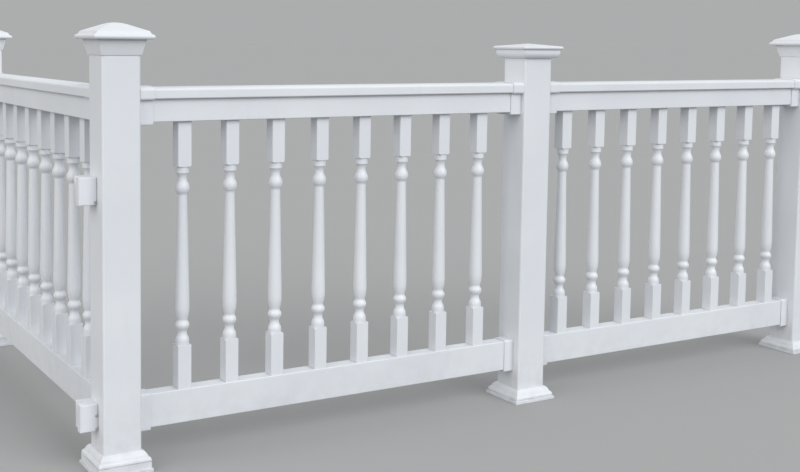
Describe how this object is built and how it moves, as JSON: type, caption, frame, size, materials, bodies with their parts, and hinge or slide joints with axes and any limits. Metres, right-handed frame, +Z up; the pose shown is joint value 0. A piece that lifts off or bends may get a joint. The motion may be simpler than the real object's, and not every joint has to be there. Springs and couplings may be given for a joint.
{
  "type": "vinyl fence",
  "caption": "White vinyl railing fence in bays round a corner, with turned balusters, T-shaped top rails, box-shaped bottom rails and square posts under moulded caps.",
  "frame": {"origin": "middle of the corner post's foot, on the flat underside of its core", "axes": "+X along the front towards the right post, +Y along the return, away from whoever stands in front, +Z up"},
  "size_m": [2.7495, 1.5312, 1.139],
  "materials": {
    "vinyl": "satin",
    "timber_core": "sawn"
  },
  "bodies": {
    "root": {"back_post_cap": "vinyl", "back_post_core": "timber_core", "back_post_foot_moulding": "vinyl", "back_post_sleeve": "vinyl", "corner_post_cap": "vinyl", "corner_post_core": "timber_core", "corner_post_foot_moulding": "vinyl", "corner_post_sleeve": "vinyl", "front_left_balusters": "vinyl", "front_left_bottom_rail": "vinyl", "front_left_bottom_rail_far_cover": "vinyl", "front_left_bottom_rail_near_cover": "vinyl", "front_left_top_rail": "vinyl", "front_left_top_rail_far_cover": "vinyl", "front_left_top_rail_near_cover": "vinyl", "front_right_balusters": "vinyl", "front_right_bottom_rail": "vinyl", "front_right_bottom_rail_far_cover": "vinyl", "front_right_bottom_rail_near_cover": "vinyl", "front_right_top_rail": "vinyl", "front_right_top_rail_far_cover": "vinyl", "front_right_top_rail_near_cover": "vinyl", "middle_post_cap": "vinyl", "middle_post_core": "timber_core", "middle_post_foot_moulding": "vinyl", "middle_post_sleeve": "vinyl", "return_balusters": "vinyl", "return_bottom_rail": "vinyl", "return_bottom_rail_far_cover": "vinyl", "return_bottom_rail_near_cover": "vinyl", "return_top_rail": "vinyl", "return_top_rail_far_cover": "vinyl", "return_top_rail_near_cover": "vinyl", "right_post_cap": "vinyl", "right_post_core": "timber_core", "right_post_foot_moulding": "vinyl", "right_post_sleeve": "vinyl", "side_block_lower": "vinyl", "side_block_upper": "vinyl"}
  },
  "joints": []
}
